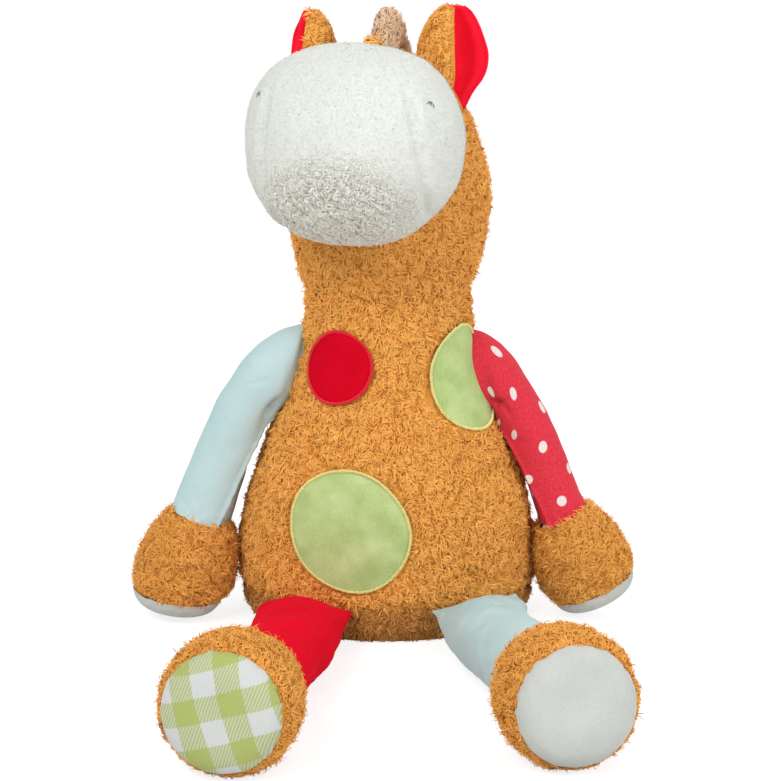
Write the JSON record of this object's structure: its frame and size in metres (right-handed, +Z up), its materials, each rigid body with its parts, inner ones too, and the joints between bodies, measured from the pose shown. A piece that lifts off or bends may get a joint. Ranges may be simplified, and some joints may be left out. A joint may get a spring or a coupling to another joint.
{
  "type": "plush horse",
  "caption": "Sitting plush horse with round white muzzle, curly ochre fur, round appliqué patches and floppy arms and legs in plain, dotted and checked cloth.",
  "frame": {"origin": "on the floor, at the centre of the flat seat", "axes": "+Z up, the toy faces -Y, its right side is at -X"},
  "size_m": [0.3132, 0.3905, 0.378],
  "materials": {
    "ochre_fur": "curly plush, matte",
    "ochre_base_fabric": "low plush, matte",
    "cream_fur": "soft fine plush, matte",
    "beige_fur": "long curly plush, matte",
    "pale_blue_velour": "smooth velour, soft sheen",
    "dotted_red_cotton": "woven cotton with white dots, matte",
    "scarlet_velour": "smooth velour, soft sheen",
    "red_felt": "felt, matte",
    "green_felt": "short velour, matte",
    "red_thread": "satin stitch, soft sheen",
    "lime_thread": "satin stitch, soft sheen",
    "gingham_cotton": "woven green and white check, matte",
    "off_white_velour": "smooth velour, matte",
    "charcoal_thread": "embroidery thread, matte",
    "fibre_filling": "loose polyester fibre, matte"
  },
  "bodies": {
    "torso": {"torso_fur": "ochre_fur", "seat_panel": "ochre_base_fabric", "torso_stuffing": "fibre_filling", "chest_patch": "red_felt", "chest_patch_border": "red_thread", "side_patch": "green_felt", "side_patch_border": "lime_thread", "belly_patch": "green_felt", "belly_patch_border": "lime_thread"},
    "head": {"head_fur": "ochre_fur", "muzzle_fur": "cream_fur", "head_stuffing": "fibre_filling", "mane": "beige_fur", "right_eye_stitch": "charcoal_thread", "left_eye_stitch": "charcoal_thread"},
    "right_ear": {"right_ear_fur": "ochre_fur", "right_ear_lining": "scarlet_velour"},
    "left_ear": {"left_ear_fur": "ochre_fur", "left_ear_lining": "scarlet_velour"},
    "right_arm": {"right_arm_sleeve": "pale_blue_velour", "right_hand_fur": "ochre_fur", "right_hand_sole": "off_white_velour", "right_arm_stuffing": "fibre_filling"},
    "left_arm": {"left_arm_sleeve": "dotted_red_cotton", "left_hand_fur": "ochre_fur", "left_hand_sole": "off_white_velour", "left_arm_stuffing": "fibre_filling"},
    "right_leg": {"right_leg_sleeve": "scarlet_velour", "right_foot_fur": "ochre_fur", "right_foot_sole": "gingham_cotton", "right_leg_stuffing": "fibre_filling"},
    "left_leg": {"left_leg_sleeve": "pale_blue_velour", "left_foot_fur": "ochre_fur", "left_foot_sole": "off_white_velour", "left_leg_stuffing": "fibre_filling"},
    "tail": {"tail": "beige_fur"}
  },
  "joints": [
    {"name": "neck", "type": "hinge", "parent": "torso", "child": "head", "pos_m": [0, 0, 0.175], "axis": [1, 0, 0], "range_deg": [-10, 10], "stiffness_Nm_per_rad": 3},
    {"name": "right_ear_flop", "type": "hinge", "parent": "head", "child": "right_ear", "pos_m": [-0.03488, 0.01, 0.33], "axis": [-0.6462, 0, -0.7631], "range_deg": [-15, 15], "stiffness_Nm_per_rad": 0.05},
    {"name": "left_ear_flop", "type": "hinge", "parent": "head", "child": "left_ear", "pos_m": [0.03488, -0.002, 0.33], "axis": [0.6462, 0, -0.7631], "range_deg": [-15, 15], "stiffness_Nm_per_rad": 0.05},
    {"name": "right_shoulder", "type": "hinge", "parent": "torso", "child": "right_arm", "pos_m": [-0.05257, -0.003, 0.15891], "axis": [-0.9744, 0, 0.225], "range_deg": [-45, 100]},
    {"name": "left_shoulder", "type": "hinge", "parent": "torso", "child": "left_arm", "pos_m": [0.05257, -0.003, 0.15891], "axis": [-0.9744, 0, -0.225], "range_deg": [-45, 100]},
    {"name": "right_hip", "type": "hinge", "parent": "torso", "child": "right_leg", "pos_m": [-0.0501, -0.0571, 0.021], "axis": [-0.8992, 0.4375, 0], "range_deg": [-40, 30]},
    {"name": "left_hip", "type": "hinge", "parent": "torso", "child": "left_leg", "pos_m": [0.05588, -0.0535, 0.021], "axis": [-0.8661, -0.4999, 0], "range_deg": [-40, 30]},
    {"name": "tail_root", "type": "hinge", "parent": "torso", "child": "tail", "pos_m": [0, 0.06751, 0.08008], "axis": [1, 0, 0], "range_deg": [0, 60]}
  ]
}
